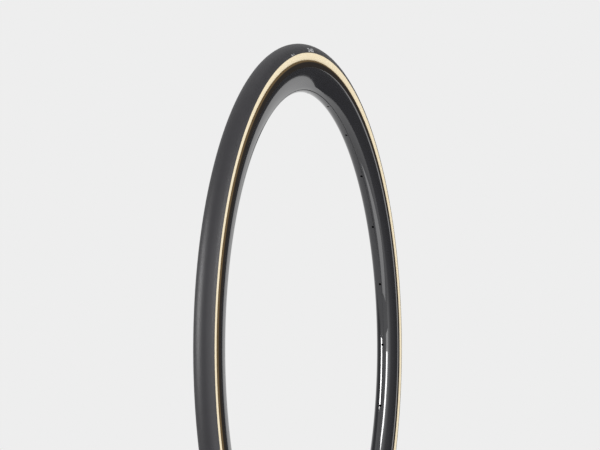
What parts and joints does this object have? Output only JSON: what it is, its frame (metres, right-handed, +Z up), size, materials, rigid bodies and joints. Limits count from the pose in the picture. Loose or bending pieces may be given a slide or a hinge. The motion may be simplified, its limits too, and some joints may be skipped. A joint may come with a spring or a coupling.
{
  "type": "bicycle tire",
  "caption": "Slick road bicycle tire with tan sidewalls, inflated on a deep glossy black rim drilled for spokes, with tube and valve.",
  "frame": {"origin": "the wheel's centre, on its axis and midway between the two sides of the rim", "axes": "+Y along the axis that the wheel spins on, +Z up, +X forward; the valve is near the bottom, 8.5 degrees from -Z towards +X"},
  "size_m": [0.6699, 0.0234, 0.67],
  "materials": {
    "tread_rubber": "matte black",
    "belt_fabric": "woven",
    "skinwall": "satin tan",
    "bead_aramid": "plain",
    "chafer_fabric": "woven",
    "carbon_gloss": "clear-coated black",
    "tape_plastic": "smooth",
    "butyl": "matte black",
    "stem_nickel": "nickel plated",
    "core_brass": "machined",
    "cap_plastic": "moulded black",
    "nut_aluminium": "machined"
  },
  "bodies": {
    "wheel": {"tread": "tread_rubber", "puncture_belt": "belt_fabric", "casing": "skinwall", "bead_core_left": "bead_aramid", "bead_core_right": "bead_aramid", "chafer_left": "chafer_fabric", "chafer_right": "chafer_fabric", "rim": "carbon_gloss", "rim_tape": "tape_plastic", "inner_tube": "butyl", "valve_foot": "butyl", "valve_stem": "stem_nickel", "valve_core": "core_brass", "core_gasket": "butyl"},
    "tip_nut": {"tip_nut": "core_brass"},
    "pin": {"valve_pin": "core_brass", "pin_seal": "butyl"},
    "cap": {"valve_cap": "cap_plastic"},
    "nut_seal": {"rim_nut_seal": "butyl"},
    "nut": {"rim_nut": "nut_aluminium"}
  },
  "joints": [
    {"name": "tip_nut_turn", "type": "hinge", "parent": "wheel", "child": "tip_nut", "pos_m": [0.03865, 0, -0.25863], "axis": [-0.1478, 0, 0.989], "range_deg": [0, 1440]},
    {"name": "pin_slide", "type": "slide", "parent": "wheel", "child": "pin", "axis": [-0.1478, 0, 0.989], "range_m": [-0.002, 0]},
    {"name": "cap_pull", "type": "slide", "parent": "wheel", "child": "cap", "axis": [-0.1478, 0, 0.989], "range_m": [0, 0.025]},
    {"name": "rim_nut_lift", "type": "slide", "parent": "wheel", "child": "nut_seal", "axis": [-0.1478, 0, 0.989], "range_m": [0, 0.0143]},
    {"name": "rim_nut_turn", "type": "hinge", "parent": "nut_seal", "child": "nut", "pos_m": [0.03865, 0, -0.25863], "axis": [-0.1478, 0, 0.989], "range_deg": [0, 6480]}
  ],
  "couplings": [
    {"joint": "tip_nut_turn", "follows": "pin_slide", "rad_per_m": -12566},
    {"joint": "rim_nut_turn", "follows": "rim_nut_lift", "rad_per_m": 7908.9}
  ]
}
